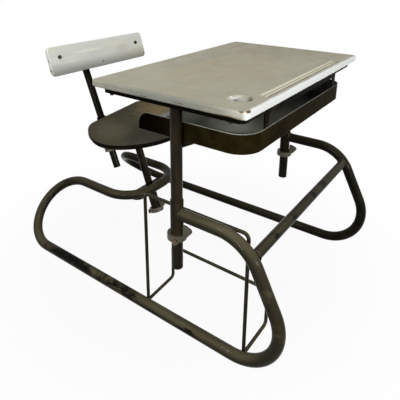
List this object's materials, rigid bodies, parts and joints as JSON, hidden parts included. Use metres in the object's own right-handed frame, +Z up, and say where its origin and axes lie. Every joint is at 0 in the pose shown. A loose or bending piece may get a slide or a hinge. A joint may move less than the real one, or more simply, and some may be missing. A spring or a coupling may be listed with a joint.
{
  "type": "school desk",
  "caption": "School desk on a bent steel tube frame with a height-adjustable wooden top, book tray, swivelling seat and sliding backrest.",
  "frame": {"origin": "on the floor, in the middle of the whole desk seen from above", "axes": "+Z up, +Y the way the seated pupil faces, +X the pupil's right hand, where the satchel rack is"},
  "size_m": [0.6746, 0.9758, 0.6528],
  "materials": {
    "frame_paint": "old olive-brown paint, worn",
    "post_paint": "thin olive-grey paint, worn to the steel",
    "clamp_steel": "bare clamp casting, grey and stained",
    "fastener_steel": "rusted steel",
    "tray_paint": "grey-green paint, scuffed",
    "rack_steel": "dark painted wire",
    "top_wood": "grey-beige paint over wood, worn",
    "seat_wood": "brown-grey worn finish",
    "rest_wood": "cool grey-white paint, chipped"
  },
  "bodies": {
    "frame": {"near_side_tube": "frame_paint", "far_side_tube": "frame_paint", "near_rear_loop": "frame_paint", "far_rear_loop": "frame_paint", "rear_u_tube": "frame_paint", "crossbar": "frame_paint", "near_post_sleeve": "frame_paint", "far_post_sleeve": "frame_paint", "near_post_collar": "clamp_steel", "far_post_collar": "clamp_steel", "near_collar_bolt": "fastener_steel", "far_collar_bolt": "fastener_steel", "seat_socket_plate": "frame_paint", "seat_socket_sleeve": "frame_paint", "seat_collar": "clamp_steel", "seat_collar_bolt": "fastener_steel", "satchel_rack_tall_wire": "rack_steel", "satchel_rack_low_wire": "rack_steel"},
    "desk_unit": {"near_desk_post": "post_paint", "far_desk_post": "post_paint", "near_head_plate": "post_paint", "far_head_plate": "post_paint", "near_post_gusset": "post_paint", "far_post_gusset": "post_paint", "top_edge_frame": "post_paint", "book_tray": "tray_paint", "tray_hanger": "post_paint", "tray_side_bolt": "fastener_steel", "tray_side_nut": "fastener_steel", "desktop_board": "top_wood", "desktop_screws": "fastener_steel"},
    "seat_unit": {"seat_post": "post_paint", "seat_carrier_bar": "post_paint", "swivel_disc": "post_paint", "backrest_sleeve": "post_paint", "backrest_collar": "clamp_steel", "backrest_collar_bolt": "fastener_steel"},
    "seat": {"seat_board": "seat_wood", "seat_rim_rod": "post_paint", "seat_strap": "post_paint", "seat_screws": "fastener_steel", "pivot_bolt": "fastener_steel", "pivot_nut": "fastener_steel"},
    "backrest": {"backrest_tube": "post_paint", "backrest_bow": "post_paint", "backrest_board": "rest_wood", "backrest_bolts": "fastener_steel", "backrest_nuts": "fastener_steel"}
  },
  "joints": [
    {"name": "desk_height", "type": "slide", "parent": "frame", "child": "desk_unit", "axis": [0, 0, 1], "range_m": [-0.08, 0.06]},
    {"name": "seat_height", "type": "slide", "parent": "frame", "child": "seat_unit", "axis": [0, -0.3338, 0.9426], "range_m": [-0.05, 0.03]},
    {"name": "seat_swivel", "type": "hinge", "parent": "seat_unit", "child": "seat", "pos_m": [0, -0.15637, 0.37], "axis": [0, 0, 1], "range_deg": [-24.7, 10.3]},
    {"name": "backrest_height", "type": "slide", "parent": "seat_unit", "child": "backrest", "axis": [0, -0.3633, 0.9317], "range_m": [-0.06, 0.04]}
  ]
}
